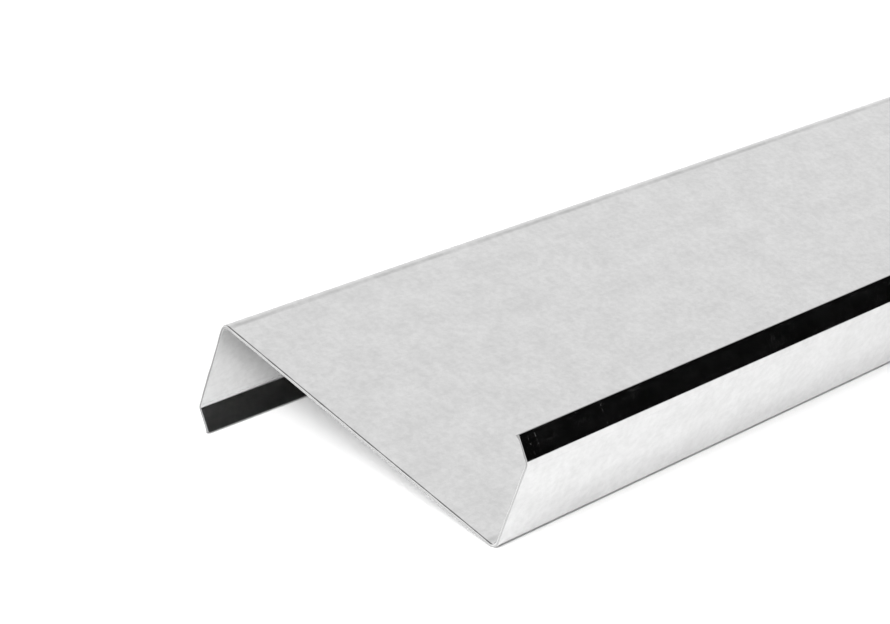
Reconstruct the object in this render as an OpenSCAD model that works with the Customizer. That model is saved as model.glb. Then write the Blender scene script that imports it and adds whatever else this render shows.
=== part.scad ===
// Z-profile: a cold-formed purlin, one steel strip folded four times along its length.
// It lies as it would on a floor: on the edge of one lip and on the web's lower bend.
// Y runs along the bar, Z is up, and the origin is on the floor under the bar's middle.

/* [Bar] */
// Length of the bar
bar_length = 6000; // [1000:100:12000]

/* [Section] */
// Depth of the web, over the outer faces of the two flanges
web_depth = 200; // [120:5:350]
// Width of the broad flange, from the web's outer face to the outer corner at its lip
broad_flange = 56; // [42:1:100]
// Width of the narrow flange, from the web's outer face to the outer corner at its lip
narrow_flange = 54; // [40:1:100]
// Length of each lip along its slope, from the flange's outer corner to its cut edge
lip_length = 15; // [10:0.5:30]
// Angle through which each lip is folded in from its flange
lip_turn = 45; // [30:5:90]

/* [Sheet] */
// Thickness of the steel sheet
sheet_thickness = 2; // [1.2:0.1:3.2]
// Radius on the inside of every bend
inner_radius = 3; // [1:0.5:5]

/* [Hidden] */

galvanised = "gainsboro";
arc_facets = 96;

// Angle between the web and each flange
web_turn = 90;

// Radius on the outside of every bend
outer_radius = inner_radius + sheet_thickness;

// How far a bend reaches back from the corner where its two outer faces would meet
function setback(turn) = outer_radius * tan(turn / 2);

// The flat stretches left between the bends
web_flat = web_depth - 2 * setback(web_turn);
lip_flat = lip_length - setback(lip_turn);
function flange_flat(width) = width - setback(web_turn) - setback(lip_turn);

// How far every round passes the flats beside it, so that the two cross in one clean line
round_overlap = 0.00001;

// How far the hollow of a fold runs on past the sheet that it shapes
hollow_overrun = 2 * outer_radius;

// Seen along the bar with the web level and centred on the origin, the bar would touch the
// floor at two places: the broad flange's lip edge and the round of the narrow flange's bend.
lip_edge = -[
    web_depth / 2 - lip_length * sin(lip_turn),
    broad_flange - sheet_thickness / 2 + lip_length * cos(lip_turn)
];
bend_centre = [web_flat / 2, outer_radius - sheet_thickness / 2];
foot_span = bend_centre - lip_edge;

// The turn about the bar's length that brings both to the floor together
rest_tilt = atan2(foot_span.y, foot_span.x) - asin(outer_radius / norm(foot_span));

// The lift that brings the floor to Z = 0, and the shift that centres the bar over the origin
floor_lift = bend_centre.x * sin(rest_tilt) - bend_centre.y * cos(rest_tilt) + outer_radius;
side_shift = (broad_flange - narrow_flange) * sin(rest_tilt) / 2;

// One flat of a fold: a band that starts radius below the line through the bends' centres
module flat(length, radius, depth) {
    translate([0, -radius])
        square([length, depth]);
    translate([length, 0])
        children();
}

// One bend of a fold, round its own centre, with what follows it turned to the left
module bend(turn, radius) {
    circle(r = radius + round_overlap, $fn = arc_facets);
    rotate(turn)
        children();
}

// Half of the section's fold as a filled shape, from the web's middle to the lip's edge.
// Its lower side follows the sheet's outer or inner face, as the radius of its bends says.
module fold(flange_width, radius, depth, overrun = 0) {
    translate([-overrun, 0])
        flat(web_flat / 2 + overrun, radius, depth)
            bend(web_turn, radius)
                flat(flange_flat(flange_width), radius, depth)
                    bend(lip_turn, radius)
                        flat(lip_flat + overrun, radius, depth);
}

// Half of the sheet: what lies between the fold's outer face and its hollow
module half_section(flange_width) {
    translate([0, bend_centre.y])
        difference() {
            fold(flange_width, outer_radius, outer_radius);
            fold(flange_width, inner_radius, inner_radius + hollow_overrun, hollow_overrun);
        }
}

// The section with its web level: its flanges stand on opposite sides of the web
module section() {
    half_section(narrow_flange);
    rotate(180)
        half_section(broad_flange);
}

module z_profile() {
    color(galvanised)
        rotate([90, 0, 0])
            linear_extrude(height = bar_length, center = true)
                translate([side_shift, floor_lift])
                    rotate(-rest_tilt)
                        section();
}

z_profile();
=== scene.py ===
"""Looks of the z-profile: a cold-formed bar of galvanised sheet on a pale studio floor.

Lengths are in metres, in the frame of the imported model: Y along the bar, Z up. The bar lies on
one lip's edge and on the bend at the other side of its web, so its web leans to the right.
"""

import math
from collections import namedtuple
from itertools import accumulate

import bpy
from mathutils import Matrix, Vector


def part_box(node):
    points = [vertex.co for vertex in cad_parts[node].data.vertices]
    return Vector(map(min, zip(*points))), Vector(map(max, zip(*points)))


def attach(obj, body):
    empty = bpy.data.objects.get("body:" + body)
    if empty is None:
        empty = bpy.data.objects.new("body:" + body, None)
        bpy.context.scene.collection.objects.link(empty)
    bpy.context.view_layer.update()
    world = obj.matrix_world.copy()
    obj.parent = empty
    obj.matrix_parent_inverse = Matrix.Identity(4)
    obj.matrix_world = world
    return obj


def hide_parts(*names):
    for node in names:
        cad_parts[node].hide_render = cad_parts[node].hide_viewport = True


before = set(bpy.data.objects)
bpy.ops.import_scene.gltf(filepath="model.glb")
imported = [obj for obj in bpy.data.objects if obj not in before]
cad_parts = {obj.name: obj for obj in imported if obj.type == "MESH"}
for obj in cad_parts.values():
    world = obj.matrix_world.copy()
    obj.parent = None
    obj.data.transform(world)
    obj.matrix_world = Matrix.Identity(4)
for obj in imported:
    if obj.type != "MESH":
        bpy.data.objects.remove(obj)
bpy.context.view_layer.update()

CAD_NODE = "z_profile"

# --- The section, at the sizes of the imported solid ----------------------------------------

WEB_DEPTH = 0.200
BROAD_FLANGE = 0.056
NARROW_FLANGE = 0.054
LIP_LENGTH = 0.015
WEB_TURN = math.radians(90)
LIP_TURN = math.radians(45)
SHEET = 0.002
INNER_RADIUS = 0.003
OUTER_RADIUS = INNER_RADIUS + SHEET
NEUTRAL_RADIUS = INNER_RADIUS + SHEET / 2

# How finely the mesh is divided
WEB_STEPS = 30
FLANGE_STEPS = 14
LIP_STEPS = 5
WEB_BEND_STEPS = 14
LIP_BEND_STEPS = 8
ROUND_STEPS = 4
STATION_SPACING = 0.05

# The UV map that the materials read: metres across and along the strip, from the web's middle
STRIP_MAP = "strip"

# The UV map to bake the materials through: the bar's walls in rows of equal length, each with a
# margin at its ends, and below them a band for the sheared ends. The narrow slit edges are
# widened on it, or they would be lost between its pixels.
BAKE_MAP = "OFBake"
BAKE_ROWS = 3
BAKE_MARGIN = 0.003
BAKE_SLIT_STRETCH = 4
BAKE_CUT_BAND = 0.02
# Shares of that band: where each sheared end begins in it, and the height that an end has
BAKE_FRONT_CUT = 0.1
BAKE_BACK_CUT = 0.5
BAKE_CUT_HEIGHT = 0.3

# Rounding of the slit edges, and of the sheared ends: the blade rolls one face over
SLIT_ROUND = 0.00022
END_ROLLOVER = 0.00085
END_ROUND = 0.00012
# The rollover grows and shrinks along the cut: (length of a ripple, its phase, its share)
ROLLOVER_RIPPLES = ((0.031, 0.4, 0.16), (0.0123, 2.1, 0.10))

# The web isn't quite flat between its bends: (length of a wave, its phase, its height)
WEB_WAVES = ((0.47, 0.0, 0.00016), (0.31, 1.9, 0.00010), (0.19, 4.1, 0.00005))

# --- The camera, at the photograph's angle ------------------------------------------------

# Turned left from the bar's length, looking down, and tilted about its own axis
VIEW_AZIMUTH = math.radians(40.71)
VIEW_ELEVATION = math.radians(20.35)
VIEW_ROLL = math.radians(1.80)
VIEW_DISTANCE = 1.4644
LENS = 109.6
SENSOR_WIDTH = 36.0
CLIP_END = 200.0
# The point of the web's upper face that the camera looks at
AIM_FROM_END = 0.1245
AIM_ACROSS_WEB = -0.0533


# --- Shape --------------------------------------------------------------------------------

# A point of the outline: its place and outward normal in the section, its distance along the
# strip from the web's middle, the face it is on, and the rounding that the sheared end has there
Point = namedtuple("Point", "place normal run face end_round")

# The sheet's two faces, followed round the bends from the web's upper and under side, and its
# slit edges
TOP, UNDER, SLIT = "top", "under", "slit"


def setback(turn):
    """How far a bend reaches back from the corner of its outer faces."""
    return OUTER_RADIUS * math.tan(turn / 2)


WEB_FLAT = WEB_DEPTH - 2 * setback(WEB_TURN)
LIP_FLAT = LIP_LENGTH - setback(LIP_TURN)
# The ends of the strip lie within this distance of the web's middle, along the strip
CUT_REACH = 0.170
# How far along the strip the narrow lip's flat begins
LIP_RUN = (WEB_FLAT / 2 + NARROW_FLANGE - setback(WEB_TURN) - setback(LIP_TURN)
           + NEUTRAL_RADIUS * (WEB_TURN + LIP_TURN))


def legs(flange_width):
    """The flats of half a section with their steps, each with the turn and steps after it."""
    flange_flat = flange_width - setback(WEB_TURN) - setback(LIP_TURN)
    return (
        (WEB_FLAT / 2, WEB_STEPS, WEB_TURN, WEB_BEND_STEPS),
        (flange_flat, FLANGE_STEPS, LIP_TURN, LIP_BEND_STEPS),
        (LIP_FLAT - SLIT_ROUND, LIP_STEPS, 0.0, 0),
    )


def ahead(heading):
    return Vector((math.cos(heading), math.sin(heading)))


def outward(heading):
    """The side of a strip with that heading which is the outside of its bends."""
    return Vector((math.sin(heading), -math.cos(heading)))


def strip_face(flange_width, radius, side):
    """One face of half the sheet, from the web's middle to the lip: (place, normal, run)."""
    origin = Vector((0.0, OUTER_RADIUS - SHEET / 2))
    heading = 0.0
    run = 0.0
    points = []
    for length, steps, turn, turn_steps in legs(flange_width):
        out = outward(heading)
        for i in range(steps + 1):
            part = length * i / steps
            points.append((origin + ahead(heading) * part + out * radius, out * side, run + part))
        origin = origin + ahead(heading) * length
        run += length
        for i in range(1, turn_steps):
            angle = turn * i / turn_steps
            out = outward(heading + angle)
            points.append((origin + out * radius, out * side, run + NEUTRAL_RADIUS * angle))
        heading += turn
        run += NEUTRAL_RADIUS * turn
    return points, (origin, heading, run)


def slit_corner(lip_end, radius, side):
    """The rounded corner between one face of the lip and its slit edge: (place, normal, run)."""
    origin, heading, run = lip_end
    centre = origin + outward(heading) * (radius - side * SLIT_ROUND)
    points = []
    for i in range(1, ROUND_STEPS + 1):
        angle = math.pi / 2 * i / ROUND_STEPS
        normal = outward(heading) * side * math.cos(angle) + ahead(heading) * math.sin(angle)
        points.append((centre + normal * SLIT_ROUND, normal, run + SLIT_ROUND * angle))
    return points


def rollover(run):
    """Rounding of the sheared end on the face that the blade rolled over."""
    ripple = sum(share * math.sin(2 * math.pi * run / length + phase)
                 for length, phase, share in ROLLOVER_RIPPLES)
    return END_ROLLOVER * (1 + ripple)


def half_outline(flange_width, turned):
    """Half the outline: the outer face to the lip, the slit edge, and the inner face back.

    A turned half goes half round the web's middle, so its outer face is the top one.
    """
    sign = -1 if turned else 1
    outer_name, inner_name = (TOP, UNDER) if turned else (UNDER, TOP)
    outer, lip_end = strip_face(flange_width, OUTER_RADIUS, 1)
    inner, _ = strip_face(flange_width, INNER_RADIUS, -1)
    slit = slit_corner(lip_end, OUTER_RADIUS, 1) + slit_corner(lip_end, INNER_RADIUS, -1)[::-1]
    outline = []
    for face, row in ((outer_name, outer), (SLIT, slit), (inner_name, inner[::-1])):
        for place, normal, run in row:
            beside_slit = run > lip_end[2] - SLIT_ROUND
            end_round = rollover(sign * run) if face == TOP and not beside_slit else END_ROUND
            outline.append(Point(sign * place, sign * normal, sign * run, face, end_round))
    return outline


def section_outline():
    """The closed outline with a level web, centred on the web's middle."""
    # Both halves hold the web's middle, on either face
    return half_outline(NARROW_FLANGE, False) + half_outline(BROAD_FLANGE, True)[1:-1]


def rest_tilt():
    """Lean of the web at which the lip's edge and the far bend both touch the floor."""
    lip_edge = -Vector((
        WEB_DEPTH / 2 - LIP_LENGTH * math.sin(LIP_TURN),
        BROAD_FLANGE - SHEET / 2 + LIP_LENGTH * math.cos(LIP_TURN),
    ))
    span = Vector((WEB_FLAT / 2, OUTER_RADIUS - SHEET / 2)) - lip_edge
    return math.atan2(span.y, span.x) - math.asin(OUTER_RADIUS / span.length)


def lying_section():
    """The web's middle and the directions across and above the web, as the bar lies."""
    low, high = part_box(CAD_NODE)
    tilt = rest_tilt()
    across = Vector((math.cos(tilt), 0.0, -math.sin(tilt)))
    above = Vector((math.sin(tilt), 0.0, math.cos(tilt)))
    lift = WEB_FLAT / 2 * math.sin(tilt)
    lift += OUTER_RADIUS - (OUTER_RADIUS - SHEET / 2) * math.cos(tilt)
    shift = (BROAD_FLANGE - NARROW_FLANGE) * math.sin(tilt) / 2
    middle = Vector(((low.x + high.x) / 2 + shift, (low.y + high.y) / 2, low.z + lift))
    return middle, across, above


def web_wave(across, y):
    """Height of the web's waves at a place, and how it changes across and along the bar."""
    reach = WEB_FLAT / 2
    if abs(across) >= reach:
        return 0.0, 0.0, 0.0
    fade = math.cos(math.pi / 2 * across / reach) ** 2
    fade_slope = -math.pi / 2 / reach * math.sin(math.pi * across / reach)
    wave = sum(height * math.sin(2 * math.pi * y / length + phase)
               for length, phase, height in WEB_WAVES)
    wave_slope = sum(height * 2 * math.pi / length * math.cos(2 * math.pi * y / length + phase)
                     for length, phase, height in WEB_WAVES)
    return wave * fade, wave * fade_slope, wave_slope * fade


def stations(length):
    """One (end, value) for each ring along the bar.

    At the ends, -1 and 1, the value is the turn of the end's rounding. Between them the end is 0
    and the value is the place along the bar.
    """
    turns = [math.pi / 2 * i / ROUND_STEPS for i in range(ROUND_STEPS + 1)]
    count = round(length / STATION_SPACING)
    plain = [(0, length * (i / count - 0.5)) for i in range(1, count)]
    return [(-1, turn) for turn in turns[::-1]] + plain + [(1, turn) for turn in turns]


def ring_point(point, station, length):
    """Where a point of the outline lies on one ring: (y, inset, tilt of its normal)."""
    end, value = station
    if end == 0:
        return value, 0.0, 0.0
    depth = point.end_round * (1 - math.sin(value))
    inset = point.end_round * (1 - math.cos(value))
    return end * (length / 2 - depth), inset, end * value


def bar_vertices(outline, rings, low, high):
    """Vertices of the bar with their exact normals, ring by ring."""
    middle, across, above = lying_section()
    along = Vector((0.0, 1.0, 0.0))
    verts, normals = [], []
    for station in rings:
        for point in outline:
            y, inset, tilt = ring_point(point, station, high.y - low.y)
            height, rise_across, rise_along = 0.0, 0.0, 0.0
            if abs(point.place.y) <= SHEET:
                height, rise_across, rise_along = web_wave(point.place.x, y)
            flat = point.place - point.normal * inset
            place = middle + across * flat.x + above * (flat.y + height) + along * y
            verts.append([min(max(p, a), b) for p, a, b in zip(place, low, high)])
            slope = (across * rise_across + along * rise_along) * point.normal.y
            facing = across * point.normal.x + above * point.normal.y - slope
            normals.append((facing * math.cos(tilt) + along * math.sin(tilt)).normalized())
    return verts, normals


class Faces:
    """Faces with their places on both UV maps and their material slots, as they are added."""

    SHEET_SLOT, CUT_SLOT = 0, 1

    def __init__(self):
        self.corners, self.coords, self.baked, self.slots = [], [], [], []

    def add(self, corners, coords, baked, slot):
        self.corners.append(corners)
        self.coords.append(coords)
        self.baked.append(baked)
        self.slots.append(slot)


def shares_round(outline):
    """How far round the section each point is on the bake's map, as a share, and last 1."""
    steps = [(b.place - a.place).length * (BAKE_SLIT_STRETCH if SLIT in (a.face, b.face) else 1)
             for a, b in zip(outline, outline[1:] + outline[:1])]
    return [0.0] + [reach / sum(steps) for reach in accumulate(steps)]


def row_place(share_along, share_round, row):
    """A place on the walls in its row of the bake's map."""
    u = BAKE_MARGIN + (1 - 2 * BAKE_MARGIN) * (share_along * BAKE_ROWS - row)
    return u, BAKE_CUT_BAND + (1 - BAKE_CUT_BAND) * (row + share_round) / BAKE_ROWS


def band_place(run, depth, reverse):
    """A place on a sheared end in the bake's map; the back end is the reversed one."""
    u = 0.5 + (0.5 - BAKE_MARGIN) * run / CUT_REACH
    base = BAKE_BACK_CUT if reverse else BAKE_FRONT_CUT
    return u, BAKE_CUT_BAND * (base + BAKE_CUT_HEIGHT * depth / SHEET)


def add_walls(faces, outline, rings, length):
    """The faces round the outline between each two rings."""
    count = len(outline)
    shares = shares_round(outline)
    for r in range(len(rings) - 1):
        for i in range(count):
            j = (i + 1) % count
            a, b = outline[i], outline[j]
            # The outline's last step goes back to the web's middle, where the run is zero
            corners = (r * count + i, (r + 1) * count + i, (r + 1) * count + j, r * count + j)
            coords = (
                (a.run, ring_point(a, rings[r], length)[0]),
                (a.run, ring_point(a, rings[r + 1], length)[0]),
                (b.run, ring_point(b, rings[r + 1], length)[0]),
                (b.run, ring_point(b, rings[r], length)[0]),
            )
            along = [0.5 + y / length for _, y in coords]
            row = int(BAKE_ROWS * (along[0] + along[1]) / 2)
            rounds = (shares[i], shares[i], shares[i + 1], shares[i + 1])
            baked = [row_place(y, share, row) for y, share in zip(along, rounds)]
            slit = SLIT in (a.face, b.face)
            faces.add(corners, coords, baked, Faces.CUT_SLOT if slit else Faces.SHEET_SLOT)


def add_cap(faces, outline, base, reverse):
    """Closes an end with faces across the sheet, and one face at each slit edge."""
    count = len(outline)
    half = count // 2
    face = (half + 1) // 2 - ROUND_STEPS
    for start in (0, half):
        near = [(start + k) % count for k in range(face)]
        far = [(start + half - k) % count for k in range(face)]
        strips = [(near[k], near[k + 1], far[k + 1], far[k]) for k in range(face - 1)]
        strips.append(tuple((near[-1] + k) % count for k in range(2 * ROUND_STEPS + 2)))
        for ring in strips:
            ring = ring[::-1] if reverse else ring
            corners = tuple(base + v for v in ring)
            coords = [(outline[v].run, sheet_depth(outline[v])) for v in ring]
            baked = [band_place(run, depth, reverse) for run, depth in coords]
            faces.add(corners, coords, baked, Faces.CUT_SLOT)


def sheet_depth(point):
    """Depth below the top face, for the UV coordinates of a cut."""
    return {TOP: 0.0, UNDER: SHEET, SLIT: SHEET / 2}[point.face]


def build_bar():
    """The bar's mesh, with exact normals, the strip's map in metres and the bake's map."""
    low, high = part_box(CAD_NODE)
    outline = section_outline()
    rings = stations(high.y - low.y)
    verts, normals = bar_vertices(outline, rings, low, high)
    faces = Faces()
    add_walls(faces, outline, rings, high.y - low.y)
    add_cap(faces, outline, 0, False)
    add_cap(faces, outline, (len(rings) - 1) * len(outline), True)

    mesh = bpy.data.meshes.new("z_profile_bar")
    mesh.from_pydata(verts, [], faces.corners)
    for name, coords in ((STRIP_MAP, faces.coords), (BAKE_MAP, faces.baked)):
        layer = mesh.uv_layers.new(name=name, do_init=False)
        layer.data.foreach_set("uv", [c for face in coords for uv in face for c in uv])
    mesh.polygons.foreach_set("material_index", faces.slots)
    mesh.polygons.foreach_set("use_smooth", [True] * len(faces.corners))
    mesh.materials.append(galvanised_sheet())
    mesh.materials.append(cut_steel())
    mesh.normals_split_custom_set_from_vertices(normals)
    mesh.update()
    bar = bpy.data.objects.new("z_profile_bar", mesh)
    bpy.context.scene.collection.objects.link(bar)
    return bar


# --- Materials ----------------------------------------------------------------------------

# A noise pattern on the strip: about how wide its features are across the bar and how long along
# it, its detail, its roughness, and a shift that keeps two patterns from lining up
Pattern = namedtuple("Pattern", "across along detail roughness shift",
                     defaults=(0.55, (0.0, 0.0)))

# Nearly all values of a noise lie in this range
NOISE_LOW = 0.3
NOISE_HIGH = 0.7


class Nodes:
    """A short way to write the nodes of a material or world."""

    def __init__(self, owner):
        owner.use_nodes = True
        self.tree = owner.node_tree
        self.tree.nodes.clear()

    def add(self, kind, sockets=(), **settings):
        node = self.tree.nodes.new(kind)
        for name, value in settings.items():
            setattr(node, name, value)
        for socket, value in dict(sockets).items():
            if isinstance(value, bpy.types.NodeSocket):
                self.tree.links.new(value, node.inputs[socket])
            else:
                node.inputs[socket].default_value = value
        return node

    def math(self, operation, a, b=0.0):
        return self.add("ShaderNodeMath", {0: a, 1: b}, operation=operation).outputs[0]

    def times(self, a, b):
        return self.math("MULTIPLY", a, b)

    def total(self, *parts):
        whole = parts[0]
        for part in parts[1:]:
            whole = self.math("ADD", whole, part)
        return whole

    def span(self, value, low, high, to_low=0.0, to_high=1.0):
        """Maps low..high to to_low..to_high with soft ends, and holds it there outside."""
        sockets = {"Value": value, "From Min": low, "From Max": high,
                   "To Min": to_low, "To Max": to_high}
        return self.add("ShaderNodeMapRange", sockets, interpolation_type="SMOOTHSTEP").outputs[0]

    def spread(self, noise, low, high):
        """Spreads the values of a noise over low..high."""
        return self.span(noise, NOISE_LOW, NOISE_HIGH, low, high)

    def strip(self):
        """The place on the strip: metres across and along it, from the web's middle."""
        return self.add("ShaderNodeUVMap", uv_map=STRIP_MAP).outputs[0]

    def pattern(self, strip, pattern):
        scale = (1 / pattern.across, 1 / pattern.along, 1.0)
        sockets = {"Vector": strip, "Scale": scale, "Location": (*pattern.shift, 0.0)}
        place = self.add("ShaderNodeMapping", sockets).outputs[0]
        sockets = {"Vector": place, "Scale": 1.0, "Detail": pattern.detail,
                   "Roughness": pattern.roughness}
        return self.add("ShaderNodeTexNoise", sockets).outputs["Fac"]

    def grey(self, value):
        return self.add("ShaderNodeCombineColor", {0: value, 1: value, 2: value}).outputs[0]

    def bump(self, height, strength, distance):
        sockets = {"Strength": strength, "Distance": distance, "Height": height}
        return self.add("ShaderNodeBump", sockets).outputs[0]

    def finish(self, sockets):
        """Ends a material with its shader."""
        shader = self.add("ShaderNodeBsdfPrincipled", sockets)
        self.add("ShaderNodeOutputMaterial", {"Surface": shader.outputs[0]})


# The zinc's grey, and how far each thing takes it up or down
ZINC = 0.66
CLOUD_TONE = 0.024
MOTTLE_TONE = 0.030
STREAK_TONE = 0.006
GRAIN_TONE = 0.014
SPANGLE_TONE = 0.010
SPECK_TONE = -0.10

# Its roughness, and how much each thing adds
ZINC_ROUGHNESS = 0.105
CLOUD_ROUGHNESS = (-0.015, 0.015)
GRAIN_ROUGHNESS = (-0.01, 0.015)
SCRATCH_ROUGHNESS = 0.09
SMUDGE_ROUGHNESS = 0.05
LIP_WEAR_ROUGHNESS = 0.20

# Its relief: how high the grain and the scratches are beside the streaks
GRAIN_RELIEF = 0.4
SCRATCH_RELIEF = -1.5
ZINC_BUMP = 0.12
ZINC_BUMP_HEIGHT = 0.00003

CLOUDS = Pattern(0.016, 0.026, 4.0, 0.6)
MOTTLE = Pattern(0.0036, 0.0048, 3.0, 0.6, (5.0, 2.0))
STREAKS = Pattern(0.0011, 0.07, 3.0, 0.6)
GRAIN = Pattern(0.0007, 0.0007, 2.0, 0.6)
SMUDGES = Pattern(0.004, 0.03, 3.0, shift=(3.1, 1.7))
SMUDGED = (0.52, 0.72)

# Scratches along and across the bar, each with the patches that they come in, and the values of
# those noises at which a scratch and a patch begin and are full
SCRATCHES = (
    (Pattern(0.0003, 0.03, 1.0), Pattern(0.03, 0.05, 1.0)),
    (Pattern(0.02, 0.0004, 1.0, shift=(7.3, 7.3)), Pattern(0.03, 0.05, 1.0, shift=(7.3, 14.6))),
)
SCRATCHED = (0.68, 0.74)
PATCHED = (0.50, 0.62)

# Zinc crystals, and how far and how finely their borders wander
SPANGLE_SIZE = 0.006
SPANGLE_WANDER = 0.003
SPANGLE_WAVES = Pattern(0.004, 0.004, 2.0)

# Specks: the size of the cells that hold one each, the share of a cell where a speck is full and
# where it ends, and the share of the cells that have none or a faint one
SPECK_SPACING = 0.011
SPECK_SIZE = (0.02, 0.07)
SPECKLESS = (0.80, 0.95)

# Dark lines along the bar beside the bends: distance along the strip from the web's middle, half
# the line's width, and how much darker the zinc is there. The two thin ones are lines that the
# forming rolls left. The first, wide and dark one at the web's bends is partly a roll line and
# partly painted shade, standing in for the dark band that those bends mirror.
ROLL_LINES_AND_BEND_SHADE = ((0.0940, 0.0022, -0.15), (0.1040, 0.0004, -0.04), (0.1470, 0.0005, -0.04))
ROLL_PRESSURE = Pattern(0.01, 0.03, 2.0, shift=(9.0, 4.0))
ROLL_FORCE = (0.45, 1.15)

# Scratches across the narrow lip, near the front end: distance from the end, and half the width
LIP_SCRATCHES = ((0.0065, 0.0004), (0.0115, 0.0003), (0.0620, 0.0004))
# How far they are out of square, how far they wander, and how unevenly they are pressed in
SCRATCH_SKEW = 0.12
SCRATCH_WANDER = 0.001
SCRATCH_WAVES = Pattern(0.006, 0.006, 2.0)
SCRATCH_PRESSURE = Pattern(0.002, 0.01, 3.0)
SCRATCH_FORCE = (0.35, 0.65, 0.2, 1.0)
# Scuffs along the lip: their pattern, the values at which they begin and are full, their depth
SCUFFS = Pattern(0.0012, 0.009, 4.0, 0.6, (6.0, 8.0))
SCUFFED = (0.48, 0.68)
SCUFF_DEPTH = 0.30
# The wear fades between these shares of the lip's width, measured from its middle
LIP_WEAR_EDGE = (0.4, 0.5)


def galvanised_sheet():
    """Bright zinc: cloudy, faintly spangled, streaked along the bar, with scuffs and specks, and
    painted shade in the dark line at the web's bends.
    """
    material = bpy.data.materials.new("galvanised_sheet")
    n = Nodes(material)
    strip = n.strip()
    clouds = n.pattern(strip, CLOUDS)
    streaks = n.pattern(strip, STREAKS)
    grain = n.pattern(strip, GRAIN)
    scratches = n.math("MAXIMUM", *[scratch_mask(n, strip, *pair) for pair in SCRATCHES])
    tone = n.total(
        n.spread(clouds, -CLOUD_TONE, CLOUD_TONE),
        n.spread(n.pattern(strip, MOTTLE), -MOTTLE_TONE, MOTTLE_TONE),
        n.spread(streaks, -STREAK_TONE, STREAK_TONE),
        n.spread(grain, -GRAIN_TONE, GRAIN_TONE),
        n.times(spangle_tone(n, strip), SPANGLE_TONE),
        n.times(speck_mask(n, strip), SPECK_TONE),
        # roll lines, with painted shade in the wide one at the web's bends
        roll_line_and_bend_shade_tone(n, strip),
        ZINC,
    )
    roughness = n.total(
        n.spread(clouds, *CLOUD_ROUGHNESS),
        n.spread(grain, *GRAIN_ROUGHNESS),
        n.times(scratches, SCRATCH_ROUGHNESS),
        n.times(n.span(n.pattern(strip, SMUDGES), *SMUDGED), SMUDGE_ROUGHNESS),
        n.times(lip_wear(n, strip), LIP_WEAR_ROUGHNESS),
        ZINC_ROUGHNESS,
    )
    relief = n.total(n.times(grain, GRAIN_RELIEF), streaks, n.times(scratches, SCRATCH_RELIEF))
    n.finish({
        "Base Color": n.grey(tone),
        "Metallic": 1.0,
        "Roughness": roughness,
        "Normal": n.bump(relief, ZINC_BUMP, ZINC_BUMP_HEIGHT),
    })
    return material


def spangle_tone(n, strip):
    """Zinc crystals of a few millimetres, each a little lighter or darker, from -1 to 1."""
    offset = n.grey(n.times(n.pattern(strip, SPANGLE_WAVES), SPANGLE_WANDER))
    shifted = n.add("ShaderNodeVectorMath", {0: strip, 1: offset}, operation="ADD").outputs[0]
    cells = n.add("ShaderNodeTexVoronoi", {"Vector": shifted, "Scale": 1 / SPANGLE_SIZE})
    value = n.add("ShaderNodeSeparateColor", {0: cells.outputs["Color"]}).outputs[0]
    return n.math("SUBTRACT", n.times(value, 2.0), 1.0)


def speck_mask(n, strip):
    """Rare dark dots about a millimetre across."""
    cells = n.add("ShaderNodeTexVoronoi", {"Vector": strip, "Scale": 1 / SPECK_SPACING})
    pick = n.add("ShaderNodeSeparateColor", {0: cells.outputs["Color"]}).outputs[1]
    dot = n.span(cells.outputs["Distance"], *SPECK_SIZE, 1.0, 0.0)
    return n.times(dot, n.span(pick, *SPECKLESS))


def scratch_mask(n, strip, lines, patches):
    """Thin scratches in patches."""
    return n.times(n.span(n.pattern(strip, lines), *SCRATCHED),
                   n.span(n.pattern(strip, patches), *PATCHED))


def roll_line_and_bend_shade_tone(n, strip):
    """Uneven dark lines along the bar beside the bends, where the forming rolls pressed; the
    widest, at the web's bends, is also painted shade.
    """
    run = n.math("ABSOLUTE", n.add("ShaderNodeSeparateXYZ", {0: strip}).outputs["X"])
    marks = [n.span(n.math("ABSOLUTE", n.math("SUBTRACT", run, place)), 0.0, width, tone, 0.0)
             for place, width, tone in ROLL_LINES_AND_BEND_SHADE]
    return n.times(n.total(*marks), n.spread(n.pattern(strip, ROLL_PRESSURE), *ROLL_FORCE))


def lip_wear(n, strip):
    """Faint wear of the narrow lip: scuffs along it, and scratches not quite square to it."""
    low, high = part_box(CAD_NODE)
    front = (low.y - high.y) / 2
    place = n.add("ShaderNodeSeparateXYZ", {0: strip})
    across = n.math("SUBTRACT", place.outputs["X"], LIP_RUN + LIP_FLAT / 2)
    skewed = n.total(place.outputs["Y"], n.times(across, SCRATCH_SKEW),
                     n.times(n.pattern(strip, SCRATCH_WAVES), SCRATCH_WANDER))
    marks = []
    for distance, width in LIP_SCRATCHES:
        away = n.math("ABSOLUTE", n.math("SUBTRACT", skewed, front + distance))
        marks.append(n.span(away, 0.0, width, 1.0, 0.0))
    force = n.span(n.pattern(strip, SCRATCH_PRESSURE), *SCRATCH_FORCE)
    scuffs = n.span(n.pattern(strip, SCUFFS), *SCUFFED, 0.0, SCUFF_DEPTH)
    worn = n.total(n.times(n.total(*marks), force), scuffs)
    inner, outer = (share * LIP_FLAT for share in LIP_WEAR_EDGE)
    return n.times(worn, n.span(n.math("ABSOLUTE", across), inner, outer, 1.0, 0.0))


# The grey of the cut faces, by place along the strip from one lip to the other: darker on the
# broad flange with its lip and on the narrow lip
CUT_TONES = ((0.0, 0.30), (0.20, 0.28), (0.23, 0.48), (0.78, 0.48), (0.82, 0.46),
             (0.93, 0.45), (0.95, 0.27))
# How the cut is torn across the sheet
TEARS = Pattern(0.0004, 0.002, 3.0, 0.6)
TEAR_TONE = (0.93, 1.05)
CUT_ROUGHNESS = (0.24, 0.36)
CUT_BUMP = 0.3
CUT_BUMP_HEIGHT = 0.00004


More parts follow.
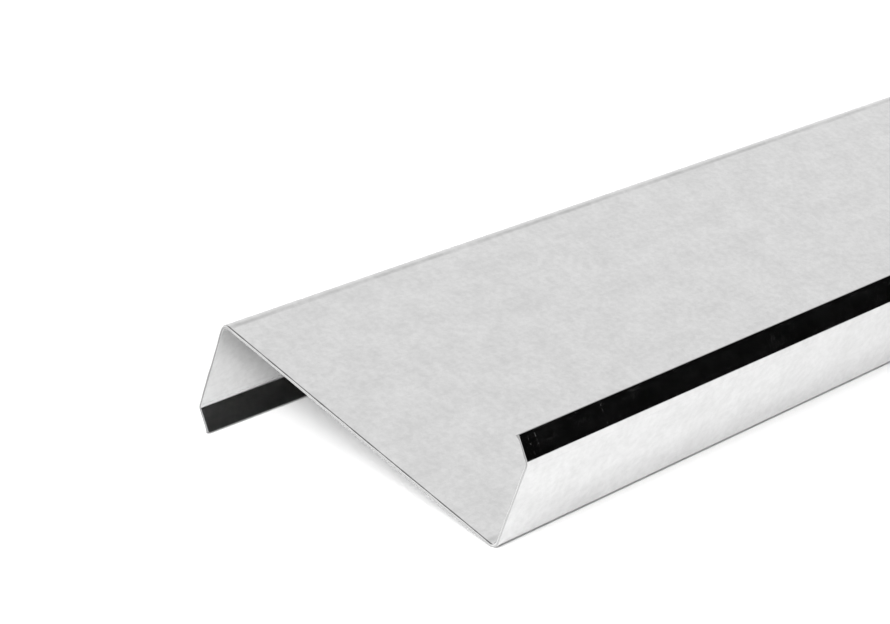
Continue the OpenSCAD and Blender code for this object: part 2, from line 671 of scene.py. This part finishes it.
def cut_steel():
    """Bare steel where the strip was slit and sheared, torn across the sheet."""
    material = bpy.data.materials.new("cut_steel")
    n = Nodes(material)
    strip = n.strip()
    run = n.add("ShaderNodeSeparateXYZ", {0: strip}).outputs["X"]
    place = n.add("ShaderNodeMapRange", {"Value": run, "From Min": -CUT_REACH,
                                         "From Max": CUT_REACH}).outputs[0]
    ramp = n.add("ShaderNodeValToRGB", {0: place})
    fill_ramp(ramp.color_ramp, CUT_TONES)
    tears = n.pattern(strip, TEARS)
    n.finish({
        "Base Color": n.grey(n.times(ramp.outputs[0], n.spread(tears, *TEAR_TONE))),
        "Metallic": 1.0,
        "Roughness": n.spread(tears, *CUT_ROUGHNESS),
        "Normal": n.bump(tears, CUT_BUMP, CUT_BUMP_HEIGHT),
    })
    return material


def fill_ramp(ramp, stops):
    while len(ramp.elements) < len(stops):
        ramp.elements.new(1.0)
    for element, (position, value) in zip(ramp.elements, stops):
        element.position = position
        element.color = (value, value, value, 1.0)


FLOOR_GREY = (0.88, 0.88, 0.88, 1.0)
FLOOR_ROUGHNESS = 0.9


def floor_paint():
    material = bpy.data.materials.new("studio_floor")
    Nodes(material).finish({
        "Base Color": FLOOR_GREY,
        "Roughness": FLOOR_ROUGHNESS,
        "Specular IOR Level": 0.0,
    })
    return material


# --- Stage --------------------------------------------------------------------------------

FLOOR_HALF = 30.0
FLOOR_DROP = 0.0001

# A wide soft light from the camera's side, low enough to shine into the bar's open end: its
# direction, how wide it looks, and its strength on a surface that faces it
KEY_AZIMUTH = math.radians(160)
KEY_ELEVATION = math.radians(37)
KEY_ANGLE = math.radians(26)
KEY_STRENGTH = 2.15

# A softbox in the same direction, near the bar's front end
BOX_DISTANCE = 2.5
BOX_SIZE = 1.15
BOX_POWER = 56.0

# Brightness of the room
WHITE = (1.0, 1.0, 1.0, 1.0)
ROOM_LIGHT = 1.01
BACKDROP = 1.0
# Black flags in the room, which the lips and the cut's rounded edge mirror: the azimuth and
# elevation of each, how far its full shade and its soft edge reach, and the light left there
FLAGS = (
    (math.radians(42.5), math.radians(12), math.radians(34), math.radians(54), 0.003),
    (math.radians(200), math.radians(45), math.radians(30), math.radians(42), 0.25),
)


def build_floor():
    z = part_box(CAD_NODE)[0].z - FLOOR_DROP
    side = FLOOR_HALF
    mesh = bpy.data.meshes.new("floor")
    mesh.from_pydata([(-side, -side, z), (side, -side, z), (side, side, z), (-side, side, z)],
                     [], [(0, 1, 2, 3)])
    mesh.materials.append(floor_paint())
    floor = bpy.data.objects.new("floor", mesh)
    bpy.context.scene.collection.objects.link(floor)


def towards(azimuth, elevation):
    """Unit vector, with azimuth measured from +Y towards +X."""
    return Vector((
        math.sin(azimuth) * math.cos(elevation),
        math.cos(azimuth) * math.cos(elevation),
        math.sin(elevation),
    ))


def add_light(name, kind, place, **settings):
    """A light at a place seen from the bar's front end, turned towards that end."""
    low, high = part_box(CAD_NODE)
    data = bpy.data.lights.new(name, kind)
    for setting, value in settings.items():
        setattr(data, setting, value)
    light = bpy.data.objects.new(name, data)
    light.location = Vector(((low.x + high.x) / 2, low.y, low.z)) + place
    light.rotation_mode = "QUATERNION"
    light.rotation_quaternion = place.to_track_quat("Z", "Y")
    # The zinc mirrors the room and the lit floor only: lamps in it would be blank glare
    light.visible_glossy = False
    bpy.context.scene.collection.objects.link(light)


def build_lights():
    place = towards(KEY_AZIMUTH, KEY_ELEVATION) * BOX_DISTANCE
    add_light("key", "SUN", place, angle=KEY_ANGLE, energy=KEY_STRENGTH)
    add_light("softbox", "AREA", place, size=BOX_SIZE, energy=BOX_POWER)


def build_world():
    """An evenly lit room with black flags."""
    world = bpy.data.worlds.new("studio")
    bpy.context.scene.world = world
    n = Nodes(world)
    way = n.add("ShaderNodeTexCoord").outputs["Generated"]
    light = ROOM_LIGHT
    for azimuth, elevation, reach, edge, left in FLAGS:
        flag = towards(azimuth, elevation)
        facing = n.add("ShaderNodeVectorMath", {0: way, 1: flag}, operation="DOT_PRODUCT")
        shade = n.span(facing.outputs["Value"], math.cos(edge), math.cos(reach), 1.0, left)
        light = n.times(light, shade)
    studio = n.add("ShaderNodeBackground", {"Color": WHITE, "Strength": light})
    backdrop = n.add("ShaderNodeBackground", {"Color": WHITE, "Strength": BACKDROP})
    seen = n.add("ShaderNodeLightPath").outputs["Is Camera Ray"]
    mix = n.add("ShaderNodeMixShader", {0: seen, 1: studio.outputs[0], 2: backdrop.outputs[0]})
    n.add("ShaderNodeOutputWorld", {"Surface": mix.outputs[0]})


def build_camera():
    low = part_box(CAD_NODE)[0]
    middle, across, above = lying_section()
    aim = middle + across * AIM_ACROSS_WEB + above * (SHEET / 2)
    aim.y = low.y + AIM_FROM_END
    back = towards(math.pi - VIEW_AZIMUTH, VIEW_ELEVATION)
    data = bpy.data.cameras.new("camera")
    data.lens = LENS
    data.sensor_width = SENSOR_WIDTH
    data.clip_end = CLIP_END
    camera = bpy.data.objects.new("camera", data)
    turn = back.to_track_quat("Z", "Y").to_matrix() @ Matrix.Rotation(VIEW_ROLL, 3, "Z")
    camera.matrix_world = Matrix.Translation(aim + back * VIEW_DISTANCE) @ turn.to_4x4()
    bpy.context.scene.collection.objects.link(camera)
    bpy.context.scene.camera = camera


build_camera()
build_floor()
build_lights()
build_world()
bpy.context.scene.view_settings.view_transform = "Standard"

bar = build_bar()
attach(bar, "root")
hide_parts(CAD_NODE)
